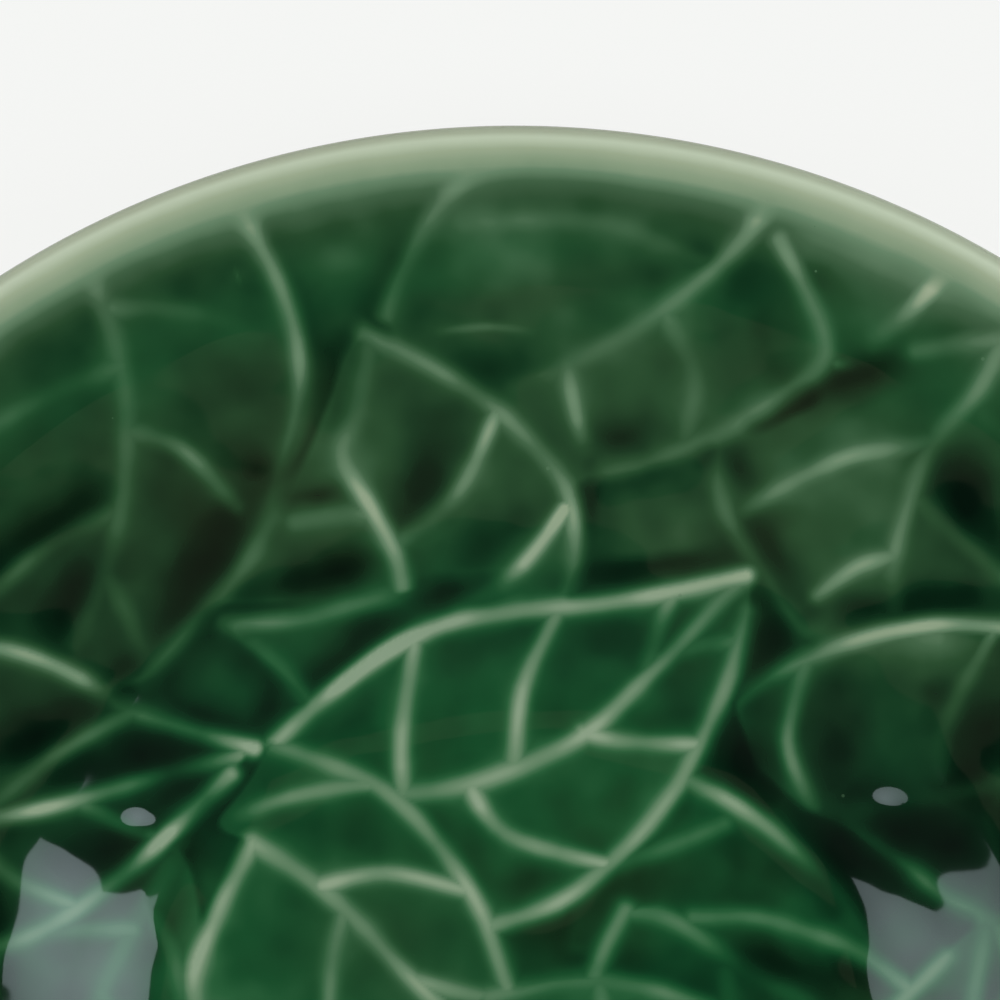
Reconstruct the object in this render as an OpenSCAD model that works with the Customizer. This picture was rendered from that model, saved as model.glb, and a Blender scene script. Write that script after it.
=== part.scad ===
// Round earthenware plate with overlapping leaves laid in relief under a green glaze.
// The dish and its foot are turned. Each leaf is a pad of clay, pressed with a raised
// midrib, side veins and rolled edges, and stuck down on the face of the dish.

/* [Plate] */
// Diameter over the lip
plate_d = 220; // [200:1:260]
// Height from the table to the top of the lip
plate_h = 22; // [20:0.5:26]
// Diameter of the flat floor of the well
floor_d = 74; // [66:1:82]
// Radius of the hollow curve at the foot of the well's wall
cove_r = 34; // [28:1:38]
// Slope of the well's wall where it is steepest, in degrees
wall_a = 27; // [23:1:30]
// Radius of the round curve where the wall turns out into the flange
turn_r = 45; // [36:1:48]
// Thickness of the clay wall
body_t = 4.3; // [3.4:0.1:4.6]
// Radius of the rounded lip
lip_r = 2.4; // [2.3:0.1:3]

/* [Foot] */
// How far the foot ring stands in from the edge of the flat floor
foot_in = 1; // [0:0.5:8]
// Width of the face that the ring stands on
foot_w = 5; // [3:0.5:8]
// Height of the ring
foot_h = 3.2; // [2:0.1:5]

/* [Leaves] */
// Thickness of the lowest leaves
blade_t = 0.6; // [0.5:0.05:1]
// How much each layer of leaves stands over the layer below
layer_t = 0.25; // [0.15:0.05:0.4]
// Height of the midribs, veins and edges over a leaf's face
rib_h = 0.6; // [0.4:0.05:1]
// Width of a midrib where it leaves the base
midrib_w = 2.2; // [1.6:0.1:2.8]
// Width of a side vein where it leaves the midrib
vein_w = 1.8; // [1.2:0.1:2.2]
// Width of a leaf's rolled edge
edge_w = 1.4; // [1:0.1:1.8]
// Length over which the leaves thin out towards the lip
fade_l = 14; // [6:1:20]

/* [Hidden] */

// Fineness of the turned parts and of the curves in the drawn lines
$fn = 120;
curve_steps = 4;
arc_steps = 5;

// Section of the dish: floor, hollow curve, turn, straight flange and round lip, each tangent to the next.
// The wall is always steeper than a flange that runs straight from the hollow curve to the lip.
least_turn = 4;
floor_r = floor_d / 2;
floor_z = foot_h + body_t;
lip_x = plate_d / 2 - lip_r;
lip_z = plate_h - lip_r;
reach = lip_x - floor_r;
fall = floor_z + cove_r - lip_z;
straight_a = atan2(reach, fall) - acos((cove_r + lip_r) / norm([reach, fall]));
steep_a = max(wall_a, straight_a + least_turn);
cove_c = [floor_r, floor_z + cove_r];
turn_c = cove_c + (cove_r + turn_r) * [sin(steep_a), -cos(steep_a)];
to_lip = [lip_x, lip_z] - turn_c;
turn_share = (turn_r - lip_r) / norm(to_lip);
flange_a = atan2(to_lip[1], to_lip[0]) - asin(turn_share);
flange_l = norm(to_lip) * cos(asin(turn_share));
flange_end = [lip_x - lip_r * sin(flange_a), lip_z + lip_r * cos(flange_a)];
under_lip = body_t - lip_r;
lip_end_a = flange_a - asin(under_lip / lip_r);

// The leaves are drawn in millimetres on a field of this radius, and grow with the plate.
// The lip outside the field is bare for a few of its own radii.
drawn_r = 104;
bare_lip = 2.5;
field_r = plate_d / 2 - bare_lip * lip_r;
grow = field_r / drawn_r;

// Share of their height that the leaves keep at the lip, and of the flange that they may thin out over
lip_share = 0.1;
most_fade = 0.8;

// Each leaf: layer, first edge, plain stretch, second edge, plain stretch, midrib, veins.
// The edges and plain stretches run round the outline. Plain stretches lie under other leaves.
BROAD = [3.2,
    [[-31.3, 100], [-27, 92], [-24.8, 84], [-25.2, 75], [-29.3, 62.5], [-36, 54], [-43, 46]],
    [[-50, 43], [-60, 48]],
    [[-64, 54], [-67.5, 64], [-66, 78], [-60, 87]],
    [[-57, 95], [-45, 103]],
    [[-50, 97], [-47, 88.5], [-44.8, 79.5], [-45, 68], [-47.3, 58.3], [-50.8, 50.5]],
    [[[-47, 58], [-44.5, 53.5], [-42.8, 48]],
     [[-44.8, 75], [-38.5, 73], [-32, 66.3]],
     [[-46, 89], [-37, 88.7], [-29.5, 85.8]],
     [[-45.3, 82.3], [-53, 79.3], [-64, 73]],
     [[-46.5, 65.5], [-54, 61.5], [-61, 55.5]]]];

CURLED = [3,
    [[6.3, 56], [7.2, 62], [5.6, 69], [-2, 77.5], [-10, 82.5], [-17.3, 86.3]],
    [[-19.5, 83], [-21.5, 78], [-24, 73], [-28, 66], [-33, 59], [-35, 55], [-20, 54.4]],
    [],
    [[-12, 53.5], [6, 50]],
    [[-12, 50], [-13.3, 59], [-16.5, 66], [-20, 72], [-18, 77.5], [-16.8, 85]],
    [[[-13.5, 62], [-6.5, 68], [-2, 77.3]],
     [[-5, 55], [1, 59.5], [5.8, 66]],
     [[-16.3, 65.3], [-21, 65.2], [-25.3, 64.5]]]];

RIM = [2,
    [[-1, 106.3], [-5, 104.3], [-9.5, 99.7], [-12.7, 94], [-15, 88.3]],
    [[-12, 80], [0, 72], [4, 66]],
    [[8.3, 69.5], [15, 71.2], [22, 73.7], [30, 78.2], [35.4, 82.8], [34.8, 88], [30.3, 96.7]],
    [[30, 104], [14, 107]],
    [[29.3, 101.5], [25, 95.5], [17, 88.8], [8, 83.5], [0, 80.2]],
    [[[23, 94], [10, 98.7], [-6, 98.7]],
     [[17, 88.6], [20.6, 81.5], [19.6, 74]],
     [[6, 82.3], [6.8, 78], [8, 73]]]];

STEM = [1,
    [],
    [[29, 100], [36, 100], [52, 93], [58, 84], [48, 81], [36, 77], [31, 84]],
    [],
    [],
    [[50.5, 94.5], [46, 89.5], [40, 84]],
    []];

FAN = [1.5,
    [[23, 76], [23.3, 69], [25, 64], [28.5, 58], [33.3, 51]],
    [[41, 48], [56, 48.5]],
    [[66, 53], [72.5, 60], [74, 69], [67.5, 78.5], [56.5, 85], [46, 84]],
    [[36, 79], [28, 75]],
    [[57, 87], [53, 79.5], [48, 73.7], [45.2, 66], [43.7, 59.5], [44.2, 53]],
    [[[48, 73.7], [37, 71.5], [25.5, 65.2]],
     [[43.8, 60.5], [39.5, 59.3], [35, 56]],
     [[45.7, 67.5], [51, 62.7], [60, 55]],
     [[52, 78], [60, 72], [70, 67]]]];

WELL = [4,
    [[-28, 38.7], [-20, 45.7], [-10, 52], [1, 54.2], [12, 55.3], [26.8, 58.3]],
    [],
    [[26.9, 54], [24.3, 44.3], [19, 33.5], [12, 25.2], [5, 19.8], [-3, 17]],
    [[-14, 20], [-24, 30]],
    [[-13, 32.7], [-5, 34], [2, 36.3], [9, 40.2], [16.5, 47.5], [26, 57.5]],
    [[[-13, 33], [-13.2, 40], [-11.5, 51]],
     [[0, 36], [1, 45], [5, 54]],
     [[15.5, 46.8], [16.7, 52], [18.3, 56]],
     [[-5.5, 34], [-1, 28], [10.8, 24.4]],
     [[8, 39.8], [13, 38.7], [21.5, 38.5]],
     [[17, 48.5], [21, 50], [26, 50.7]]]];

HEART = [5,
    [[-28.3, 38.5], [-17, 34.2], [-9, 27], [-4, 19], [-0.8, 10.5], [2, 2], [6, -7]],
    [],
    [[3, -9], [-10, -11], [-24, -7], [-34, 1], [-37.5, 10], [-35, 18], [-30.7, 26.8]],
    [[-34.8, 29.2]],
    [[-30.7, 27], [-25, 23.4], [-19, 18.5], [-12, 11], [-4, 3], [5, -7]],
    [[[-33.5, 29.6], [-26, 32.3], [-17, 33.8]],
     [[-22.5, 22], [-15, 23.4], [-5.3, 21.2]],
     [[-19.8, 19], [-21.5, 12], [-22, -5]],
     [[-12, 11], [-7, 9.7], [-0.5, 8.3]],
     [[-9, 8], [-11, 1], [-10, -10]]]];

FLOOR = [2,
    [[21, 18.3], [28, 18.2], [34, 16.6], [41, 13.8], [47, 9], [52, 1]],
    [],
    [[47, -4], [36, -9], [22, -9], [11, -3], [7.5, 5], [9.5, 12], [13, 19.2]],
    [[17, 20]],
    [[13.3, 19], [18, 18], [24, 14.3], [32, 9.5], [42, 4], [50, 1.4]],
    [[[25, 13.7], [25.3, 5], [29, -8]],
     [[33, 9], [36.5, 12], [39, 15]],
     [[38, 6], [37.5, 0], [40, -6.5]],
     [[18, 17.6], [16, 8], [17, -6]]]];

TUCKED = [1,
    [[16, 36.5], [20.5, 34.3], [26.5, 31], [32, 26.8], [38, 21], [42, 15]],
    [[38, 9], [20, 10], [6, 14], [8, 30]],
    [],
    [],
    [[10, 23.8], [17, 26], [24.5, 29]],
    []];

SIDE = [4,
    [[25.5, 43.3], [30, 46.8], [36, 49.6], [44, 52], [52, 52.7], [62, 51], [74, 46], [84, 38]],
    [],
    [[80, 29], [72, 21], [62, 17.5], [52, 19.5], [45, 24.8], [38.5, 29], [34, 31]],
    [[28.5, 36]],
    [[34.5, 31], [42, 31.3], [50, 33], [60, 35.2], [72, 37], [82, 37.8]],
    [[[34.7, 31.3], [31.8, 39], [33.8, 48.3]],
     [[49.3, 33.5], [49.7, 41], [55, 51.5]],
     [[63, 36], [65.5, 42], [71, 47]],
     [[50, 32.8], [55, 27], [62, 18.5]],
     [[64, 35.6], [69, 30], [75, 24.5]]]];

LONG = [4.5,
    [[-90, 34], [-82, 43], [-72, 49], [-60, 50], [-50, 46.4], [-43, 42.2], [-30.3, 38.1]],
    [],
    [[-33, 35], [-38.5, 29.7], [-47, 22.3], [-55, 17], [-65, 14.5], [-77, 16.5], [-87, 23]],
    [],
    [[-89, 29], [-72, 29.5], [-60, 30.3], [-50, 32.4], [-40, 35.4], [-32, 37.2]],
    [[[-62, 30.2], [-53.5, 37.2], [-44.5, 42.3]],
     [[-50.5, 32.3], [-46, 29.5], [-41, 27.5]],
     [[-76, 29.3], [-70, 38], [-63, 49]],
     [[-64, 30], [-59, 24], [-51, 20]],
     [[-78, 29.3], [-72, 22], [-65, 15.5]]]];

TIP = [3.5,
    [[-10, 56.8], [-20, 54.6], [-27, 53.2], [-33.4, 52.7]],
    [],
    [[-30, 50], [-26, 46], [-22, 40]],
    [[-6, 46]],
    [],
    []];

CROSS = [3.6,
    [[39, -27], [50, -25], [59, -16], [63, -3], [60.5, 9], [55, 20]],
    [],
    [[50, 14], [42.5, 5], [37.5, -7], [36, -18]],
    [],
    [[39, -26], [46, -14], [51.5, 0], [54.5, 17]],
    [[[44.5, -17], [52, -17], [58, -16]],
     [[49, -7], [56, -5], [62, 1]],
     [[43, -19.5], [40, -14], [38.5, -5.5]],
     [[48, -9.5], [46, -3], [46.5, 8]],
     [[52.7, 5], [56, 8], [59, 12]]]];

// Where each drawing is laid: leaves round the flange four times, leaves of the well twice
FLANGE = [BROAD, CURLED, RIM, STEM, FAN];
INNER = [WELL, HEART, FLOOR, TUCKED, SIDE, LONG, TIP, CROSS];
LAID = concat(
    [for (drawing = FLANGE) for (i = [0:3]) [drawing, -90 * i]],
    [for (drawing = INNER) for (i = [0:1]) [drawing, 180 * i]]
);

// The leaves overlap all the way round, so the first broad leaf lies on its neighbours and the rest lie under theirs
lowest_broad = 1.3;
function layer(i) = i > 0 && i < 4 ? lowest_broad : LAID[i][0][0];

// A smooth curve through the points of a drawn line
function between(a, b, c, d, t) =
    0.5 * (2 * b + (c - a) * t + (2 * a - 5 * b + 4 * c - d) * t * t + (3 * b - a - 3 * c + d) * t * t * t);
function smooth(p) = len(p) < 3 ? p : [
    for (i = [0:len(p) - 2])
        for (k = [0:curve_steps - 1])
            between(p[max(i - 1, 0)], p[i], p[i + 1], p[min(i + 2, len(p) - 1)], k / curve_steps),
    p[len(p) - 1]
];

// The outline of a strip that follows a curve and tapers from one width to another
function turn_left(v) = [-v[1], v[0]] / norm(v);
function side_of(c, i) = turn_left(c[min(i + 1, len(c) - 1)] - c[max(i - 1, 0)]);
function taper(c, i, w0, w1) = (w0 + (w1 - w0) * i / (len(c) - 1)) / 2;
function strip(c, w0, w1) = concat(
    [for (i = [0:len(c) - 1]) c[i] + side_of(c, i) * taper(c, i, w0, w1)],
    [for (i = [len(c) - 1:-1:0]) c[i] - side_of(c, i) * taper(c, i, w0, w1)]
);

// A leaf's outline, its middle and its reach, to find the leaves that lie over it
function outline(d) = concat(smooth(d[1]), d[2], smooth(d[3]), d[4]);
function middle(p) = [for (axis = [0, 1]) (min([for (q = p) q[axis]]) + max([for (q = p) q[axis]])) / 2];
function spun(v, a) = [v[0] * cos(a) - v[1] * sin(a), v[0] * sin(a) + v[1] * cos(a)];
function centre(i) = spun(middle(outline(LAID[i][0])), LAID[i][1]);
function span(i) = max([for (q = outline(LAID[i][0])) norm(q - middle(outline(LAID[i][0])))]);
function rank(i) = layer(i) + i / 1000;
function covers(j, i) = rank(j) > rank(i) && norm(centre(i) - centre(j)) < span(i) + span(j);
function leaf_h(i) = blade_t + (layer(i) - 1) * layer_t;

// Points of an arc, and of the face of the dish out to the edge of the leaves
function arc(c, r, a0, a1, n) = [for (k = [0:n]) let (a = a0 + (a1 - a0) * k / n) c + r * [cos(a), sin(a)]];
function rest(p) = [for (k = [1:len(p) - 1]) p[k]];
fade = min(fade_l, most_fade * flange_l);
fade_start = flange_end - fade * [cos(flange_a), sin(flange_a)];
face_line = concat(
    [[0, floor_z]],
    arc(cove_c, cove_r, -90, steep_a - 90, arc_steps),
    rest(arc(turn_c, turn_r, steep_a + 90, flange_a + 90, arc_steps)),
    [fade_start, flange_end]
);

// A skin of the dish's face, between two heights over it, that thins out towards the lip
function over_face(k, h) = face_line[k] + [0, k == len(face_line) - 1 ? h * lip_share : h];
module face_skin(low, high) {
    last = len(face_line) - 1;
    rotate_extrude()
        polygon(concat(
            [for (k = [0:last]) over_face(k, low)],
            [for (k = [last:-1:0]) over_face(k, high)]
        ));
}

// The ground that a leaf shows: its outline, less the leaves over it
module shown(i) {
    difference() {
        intersection() {
            laid(i) polygon(outline(LAID[i][0]));
            circle(field_r);
        }
        for (j = [0:len(LAID) - 1])
            if (covers(j, i)) laid(j) polygon(outline(LAID[j][0]));
    }
}

// Turns a drawing to its place and to the plate's size
module laid(i) {
    rotate(LAID[i][1]) scale(grow) children();
}

// The rolled edges, midrib and veins of a leaf, as strips on its drawing
module ribs(d) {
    vein_taper = 0.7;
    midrib_taper = 0.5;
    for (edge = [d[1], d[3]])
        if (len(edge) > 0) polygon(strip(smooth(edge), 2 * edge_w, 2 * edge_w));
    if (len(d[5]) > 0) polygon(strip(smooth(d[5]), midrib_w, midrib_w * midrib_taper));
    for (vein = d[6]) polygon(strip(smooth(vein), vein_w, vein_w * vein_taper));
}

// One leaf: its pad, with the ribs standing on it
module leaf(i) {
    sunk = 0.3;
    over = 2 * plate_h;
    intersection() {
        face_skin(0, leaf_h(i));
        linear_extrude(over) shown(i);
    }
    intersection() {
        face_skin(leaf_h(i) - sunk, leaf_h(i) + rib_h);
        linear_extrude(over)
            intersection() {
                shown(i);
                laid(i) ribs(LAID[i][0]);
            }
    }
}

// The turned dish
module plate_body() {
    color("darkseagreen")
        rotate_extrude()
            polygon(concat(
                face_line,
                rest(arc([lip_x, lip_z], lip_r, 90 + flange_a, lip_end_a, 3 * arc_steps)),
                arc(turn_c, turn_r - body_t, flange_a + 90, steep_a + 90, arc_steps),
                rest(arc(cove_c, cove_r + body_t, steep_a - 90, -90, arc_steps)),
                [[0, foot_h]]
            ));
}

// The ring that the plate stands on
module foot_ring() {
    color("darkseagreen")
        rotate_extrude()
            translate([floor_r - foot_in - foot_w, 0]) square([foot_w, foot_h]);
}

module broad_leaf(n) { color("seagreen") leaf(n - 1); }
module curled_leaf(n) { color("mediumseagreen") leaf(n + 3); }
module rim_leaf(n) { color("forestgreen") leaf(n + 7); }
module stem_leaf(n) { color("darkgreen") leaf(n + 11); }
module fan_leaf(n) { color("green") leaf(n + 15); }
module well_leaf(n) { color("seagreen") leaf(n + 19); }
module heart_leaf(n) { color("mediumseagreen") leaf(n + 21); }
module floor_leaf(n) { color("forestgreen") leaf(n + 23); }
module tucked_leaf(n) { color("darkgreen") leaf(n + 25); }
module side_leaf(n) { color("green") leaf(n + 27); }
module long_leaf(n) { color("seagreen") leaf(n + 29); }
module tip_leaf(n) { color("mediumseagreen") leaf(n + 31); }
module cross_leaf(n) { color("forestgreen") leaf(n + 33); }

plate_body();
foot_ring();
broad_leaf(1);  // broad_leaf_1
broad_leaf(2);  // broad_leaf_2
broad_leaf(3);  // broad_leaf_3
broad_leaf(4);  // broad_leaf_4
curled_leaf(1);  // curled_leaf_1
curled_leaf(2);  // curled_leaf_2
curled_leaf(3);  // curled_leaf_3
curled_leaf(4);  // curled_leaf_4
rim_leaf(1);  // rim_leaf_1
rim_leaf(2);  // rim_leaf_2
rim_leaf(3);  // rim_leaf_3
rim_leaf(4);  // rim_leaf_4
stem_leaf(1);  // stem_leaf_1
stem_leaf(2);  // stem_leaf_2
stem_leaf(3);  // stem_leaf_3
stem_leaf(4);  // stem_leaf_4
fan_leaf(1);  // fan_leaf_1
fan_leaf(2);  // fan_leaf_2
fan_leaf(3);  // fan_leaf_3
fan_leaf(4);  // fan_leaf_4
well_leaf(1);  // well_leaf_1
well_leaf(2);  // well_leaf_2
heart_leaf(1);  // heart_leaf_1
heart_leaf(2);  // heart_leaf_2
floor_leaf(1);  // floor_leaf_1
floor_leaf(2);  // floor_leaf_2
tucked_leaf(1);  // tucked_leaf_1
tucked_leaf(2);  // tucked_leaf_2
side_leaf(1);  // side_leaf_1
side_leaf(2);  // side_leaf_2
long_leaf(1);  // long_leaf_1
long_leaf(2);  // long_leaf_2
tip_leaf(1);  // tip_leaf_1
tip_leaf(2);  // tip_leaf_2
cross_leaf(1);  // cross_leaf_1
cross_leaf(2);  // cross_leaf_2
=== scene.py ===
import math
import bpy
import numpy as np
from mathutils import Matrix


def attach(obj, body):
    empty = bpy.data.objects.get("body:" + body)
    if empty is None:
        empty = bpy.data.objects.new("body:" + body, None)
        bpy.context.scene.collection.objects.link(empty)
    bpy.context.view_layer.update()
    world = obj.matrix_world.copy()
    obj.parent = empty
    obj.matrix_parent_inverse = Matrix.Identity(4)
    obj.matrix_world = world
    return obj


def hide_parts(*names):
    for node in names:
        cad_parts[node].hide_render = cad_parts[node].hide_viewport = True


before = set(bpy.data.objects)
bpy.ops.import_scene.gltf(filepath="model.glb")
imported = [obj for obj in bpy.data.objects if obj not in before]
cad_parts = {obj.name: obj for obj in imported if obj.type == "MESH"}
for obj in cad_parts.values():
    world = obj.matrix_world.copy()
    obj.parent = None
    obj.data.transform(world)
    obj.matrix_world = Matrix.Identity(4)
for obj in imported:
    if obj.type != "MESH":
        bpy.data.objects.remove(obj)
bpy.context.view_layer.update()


# The dish
# Turned earthenware a little over 4 mm thick: a flat floor, a hollow curve, a turn out into the
# straight flange, and a round lip. It is glazed all over, and thinly on the lip.
MM = 0.001
floor_r = 37
floor_z = 7.5
foot_h = 3.2
wall = 4.3
cove_r = 34
steep_a = math.radians(27)
turn_r = 45
lip_r = 2.4
lip_x = 107.6
lip_z = 19.6
face_edge = 105.3
cove_z = floor_z + cove_r
cove_end = floor_r + cove_r * math.sin(steep_a)
turn_x = floor_r + (cove_r + turn_r) * math.sin(steep_a)
turn_z = cove_z - (cove_r + turn_r) * math.cos(steep_a)
to_lip = (lip_x - turn_x, lip_z - turn_z)
flange_a = math.atan2(to_lip[1], to_lip[0]) - math.asin((turn_r - lip_r) / math.hypot(*to_lip))
turn_end = turn_x - turn_r * math.sin(flange_a)
turn_top = turn_z + turn_r * math.cos(flange_a)
flange_end = lip_x - lip_r * math.sin(flange_a)


def face_height(r):
    """Height of the glazed face of the dish, without its leaves, at a distance from the middle."""
    hollow = cove_z - np.sqrt(np.maximum(cove_r ** 2 - (r - floor_r) ** 2, 0))
    turn = turn_z + np.sqrt(np.maximum(turn_r ** 2 - (r - turn_x) ** 2, 0))
    flange = turn_top + (r - turn_end) * math.tan(flange_a)
    lip = lip_z + np.sqrt(np.maximum(lip_r ** 2 - (r - lip_x) ** 2, 0))
    inner = np.where(r < floor_r, floor_z, np.where(r < cove_end, hollow, turn))
    return np.where(r < turn_end, inner, np.where(r < flange_end, flange, lip))


def lip_glaze_and_light(x, y):
    """Share of its depth that the glaze keeps: it runs off the lip, a little unevenly round it. The share
    also paints a highlight and a shade on the lip.
    """
    round_a = np.arctan2(y, x)
    waves = ((0.45, 6, 2.6), (0.35, 11, 0.4))
    waver = sum(height * np.sin(count * round_a + start) for height, count, start in waves)
    r = np.hypot(x, y)
    r = r + waver * np.interp(r, [97, 101, 105], [0, 1, 0])
    # Where the share is none the glaze is thin and the palest ring also paints a highlight along the lip;
    # the rise to the outer edge paints shade on the lip's outer side, which turns from the light.
    places = [98, 100, 101, 102, 103.2, 104.2, 105.4, 106.6, 107.5, 108.1, 108.6, 109.4, 110]
    shares = [1, 0.96, 0.91, 0.79, 0.63, 0.46, 0.28, 0.23, 0.14, 0.06, 0, 0.1, 0.2]
    return np.interp(r, places, shares)


def arc_points(x, z, r, start, end, count):
    """Points of an arc of a section, from one angle to another."""
    angles = np.linspace(start, end, count)
    return [(x + r * math.cos(a), z + r * math.sin(a)) for a in angles]


def new_piece(name):
    """Names the object that was just added, and its mesh."""
    piece = bpy.context.object
    piece.name = name
    piece.data.name = name
    return piece


merge_gap = 0.02
smooth_below = math.radians(35)


def turned(name, section, steps):
    """A solid turned from a section: a point is extruded along it, and the line is spun round the axis."""
    bpy.ops.object.select_all(action="DESELECT")
    bpy.ops.mesh.primitive_plane_add(size=MM)
    piece = new_piece(name)
    bpy.ops.object.mode_set(mode="EDIT")
    bpy.ops.mesh.merge(type="CENTER")
    start = section[0]
    bpy.ops.transform.translate(value=(start[0] * MM, 0, start[1] * MM))
    for (x0, z0), (x1, z1) in zip(section, section[1:]):
        move = ((x1 - x0) * MM, 0, (z1 - z0) * MM)
        bpy.ops.mesh.extrude_region_move(TRANSFORM_OT_translate={"value": move})
    bpy.ops.mesh.select_all(action="SELECT")
    bpy.ops.mesh.spin(steps=steps, angle=2 * math.pi, center=(0, 0, 0), axis=(0, 0, 1))
    bpy.ops.mesh.select_all(action="SELECT")
    bpy.ops.mesh.remove_doubles(threshold=merge_gap * MM)
    bpy.ops.mesh.normals_make_consistent(inside=False)
    bpy.ops.object.mode_set(mode="OBJECT")
    bpy.ops.object.shade_smooth_by_angle(angle=smooth_below)
    return piece


def warm_clay_and_reflection_at(r):
    """How much of the warm tones the glaze takes at a distance from the middle: on the flange a painted
    warm reflection, at the lip warm clay under thin glaze.
    """
    return np.interp(r, [56, 66, 86, 92, 96, 102], [0, 0.75, 0.75, 0.35, 0.45, 1])


def set_glaze(piece, depth, warm_clay_and_reflection):
    """Keeps the depth of the glaze and its share of warm tones (warm clay, and a painted warm reflection on
    the flange) at each point of a piece, for its colour.
    """
    for name, values in (("depth", depth), ("warm_clay_and_reflection", warm_clay_and_reflection)):
        layer = piece.data.attributes.new(name, "FLOAT", "POINT")
        spots = np.broadcast_to(np.asarray(values, dtype=np.float32), len(piece.data.vertices))
        layer.data.foreach_set("value", np.ascontiguousarray(spots))


def point_places(piece):
    """The places of a piece's points, in millimetres."""
    places = np.empty(len(piece.data.vertices) * 3)
    piece.data.vertices.foreach_get("co", places)
    return places.reshape(-1, 3) / MM


# Under the leaves the dish lies a little below the glazed face, and it comes up to it at the face's edge.
under_skin = 0.3
skin_step = 0.3
lip_start = 106.2
curve_points = 11
lip_points = 28
dish_steps = 720
well_section = [(0, floor_z - under_skin), (floor_r, floor_z - under_skin)]
wall_section = [
    (x, z - under_skin) for x, z in
    arc_points(floor_r, cove_z, cove_r, -math.pi / 2, steep_a - math.pi / 2, curve_points)[1:]
    + arc_points(turn_x, turn_z, turn_r, steep_a + math.pi / 2, flange_a + math.pi / 2, curve_points)[1:]
]
flange_section = [
    (face_edge - skin_step, float(face_height(face_edge - skin_step)) - under_skin),
    (face_edge, float(face_height(face_edge))),
    (lip_start, float(face_height(lip_start))),
]
lip_under_a = flange_a - math.asin((wall - lip_r) / lip_r)
lip_section = arc_points(lip_x, lip_z, lip_r, math.pi / 2 + flange_a, lip_under_a, lip_points)
back_section = arc_points(
    turn_x, turn_z, turn_r - wall, flange_a + math.pi / 2, steep_a + math.pi / 2, curve_points)
back_section += arc_points(
    floor_r, cove_z, cove_r + wall, steep_a - math.pi / 2, -math.pi / 2, curve_points)[1:]
dish = turned(
    "glazed_dish",
    well_section + wall_section + flange_section + lip_section + back_section + [(0, foot_h)],
    dish_steps)

dish_places = point_places(dish)
dish_r = np.hypot(dish_places[:, 0], dish_places[:, 1])
ground_depth = 0.6
clear_of_face = 1
on_back = dish_places[:, 2] < face_height(dish_r) - clear_of_face
back_depth = np.interp(dish_r, [60, 100, 106, 109], [0.58, 0.5, 0.3, 0.05])
face_depth = ground_depth * lip_glaze_and_light(dish_places[:, 0], dish_places[:, 1])
set_glaze(dish, np.where(on_back, back_depth, face_depth), warm_clay_and_reflection_at(dish_r))


def linear(red, green, blue):
    """A colour picked on a screen, as the light it stands for."""
    def channel(c):
        c = c / 255
        return c / 12.92 if c <= 0.04045 else ((c + 0.055) / 1.055) ** 2.4
    return (channel(red), channel(green), channel(blue), 1)


def add_node(tree, kind, links=(), **settings):
    """Adds a node, sets its named settings and joins (socket, source) pairs to it."""
    node = tree.nodes.new(kind)
    for key, value in settings.items():
        setattr(node, key, value)
    for socket, source in links:
        if isinstance(source, bpy.types.NodeSocket):
            tree.links.new(source, node.inputs[socket])
        else:
            node.inputs[socket].default_value = source
    return node


# Transparent green glaze: pale where it is thin over the clay, near black where it pools.
# Each tone goes with a depth of the glaze, from none to the deepest.
GLAZE_TONES = [
    (0.00, (182, 197, 172)),
    (0.10, (160, 180, 150)),
    (0.22, (116, 149, 114)),
    (0.36, (70, 119, 80)),
    (0.44, (44, 101, 60)),
    (0.54, (25, 84, 46)),
    (0.68, (14, 61, 33)),
    (0.84, (6, 38, 20)),
    (1.00, (2, 20, 10)),
]

# On the flange these tones paint a warm reflection into the glaze. Near the lip the clay shows through more
# warmly, and the palest tone also paints the lip's highlight.
WARM_CLAY_AND_REFLECTION_TONES = [
    (0.00, (212, 226, 198)),
    (0.10, (171, 186, 153)),
    (0.22, (114, 146, 113)),
    (0.36, (72, 106, 74)),
    (0.52, (44, 80, 48)),
    (0.68, (24, 60, 34)),
    (0.84, (8, 38, 20)),
    (1.00, (2, 20, 10)),
]

# In patches the deep glaze turns brown.
BROWN_TONES = [
    (0.30, (86, 108, 72)),
    (0.50, (50, 64, 38)),
    (0.70, (30, 38, 20)),
    (0.85, (17, 25, 12)),
    (1.00, (8, 14, 6)),
]
patch_scale = 38
patch_range = (0.48, 0.7)
brown_depths = (0.45, 0.8)
browning = 0.6

# The glaze is a little cloudy, its face ripples faintly, and on the flange a few pinholes show pale.
cloud_scale = 90
clouding = 0.4
ripple_scale = 160
ripple_height = 0.04
gloss_range = (0.03, 0.07)
glaze_ior = 1.5
pinhole_scale = 260
pinhole_size = 0.06
pinhole_share = 0.08
PINHOLE_TONE = (86, 122, 88)

glaze = bpy.data.node_groups.new("glaze_over_clay", "ShaderNodeTree")
for socket in ("Depth", "Warm Clay And Reflection", "Clouding", "Browning"):
    glaze.interface.new_socket(socket, in_out="INPUT", socket_type="NodeSocketFloat")
glaze.interface.new_socket("Color", in_out="OUTPUT", socket_type="NodeSocketColor")
glaze.interface.new_socket("Roughness", in_out="OUTPUT", socket_type="NodeSocketFloat")
glaze.interface.new_socket("Height", in_out="OUTPUT", socket_type="NodeSocketFloat")
glaze_in = add_node(glaze, "NodeGroupInput")
place = add_node(glaze, "ShaderNodeTexCoord").outputs["Object"]
cloud = add_node(glaze, "ShaderNodeTexNoise", [("Vector", place), ("Scale", cloud_scale), ("Detail", 3)])
cloud_level = add_node(
    glaze, "ShaderNodeMath", [(0, cloud.outputs["Fac"]), (1, 0.5)], operation="SUBTRACT")
cloud_part = add_node(
    glaze, "ShaderNodeMath", [(0, cloud_level.outputs[0]), (1, glaze_in.outputs["Clouding"])],
    operation="MULTIPLY")
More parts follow.
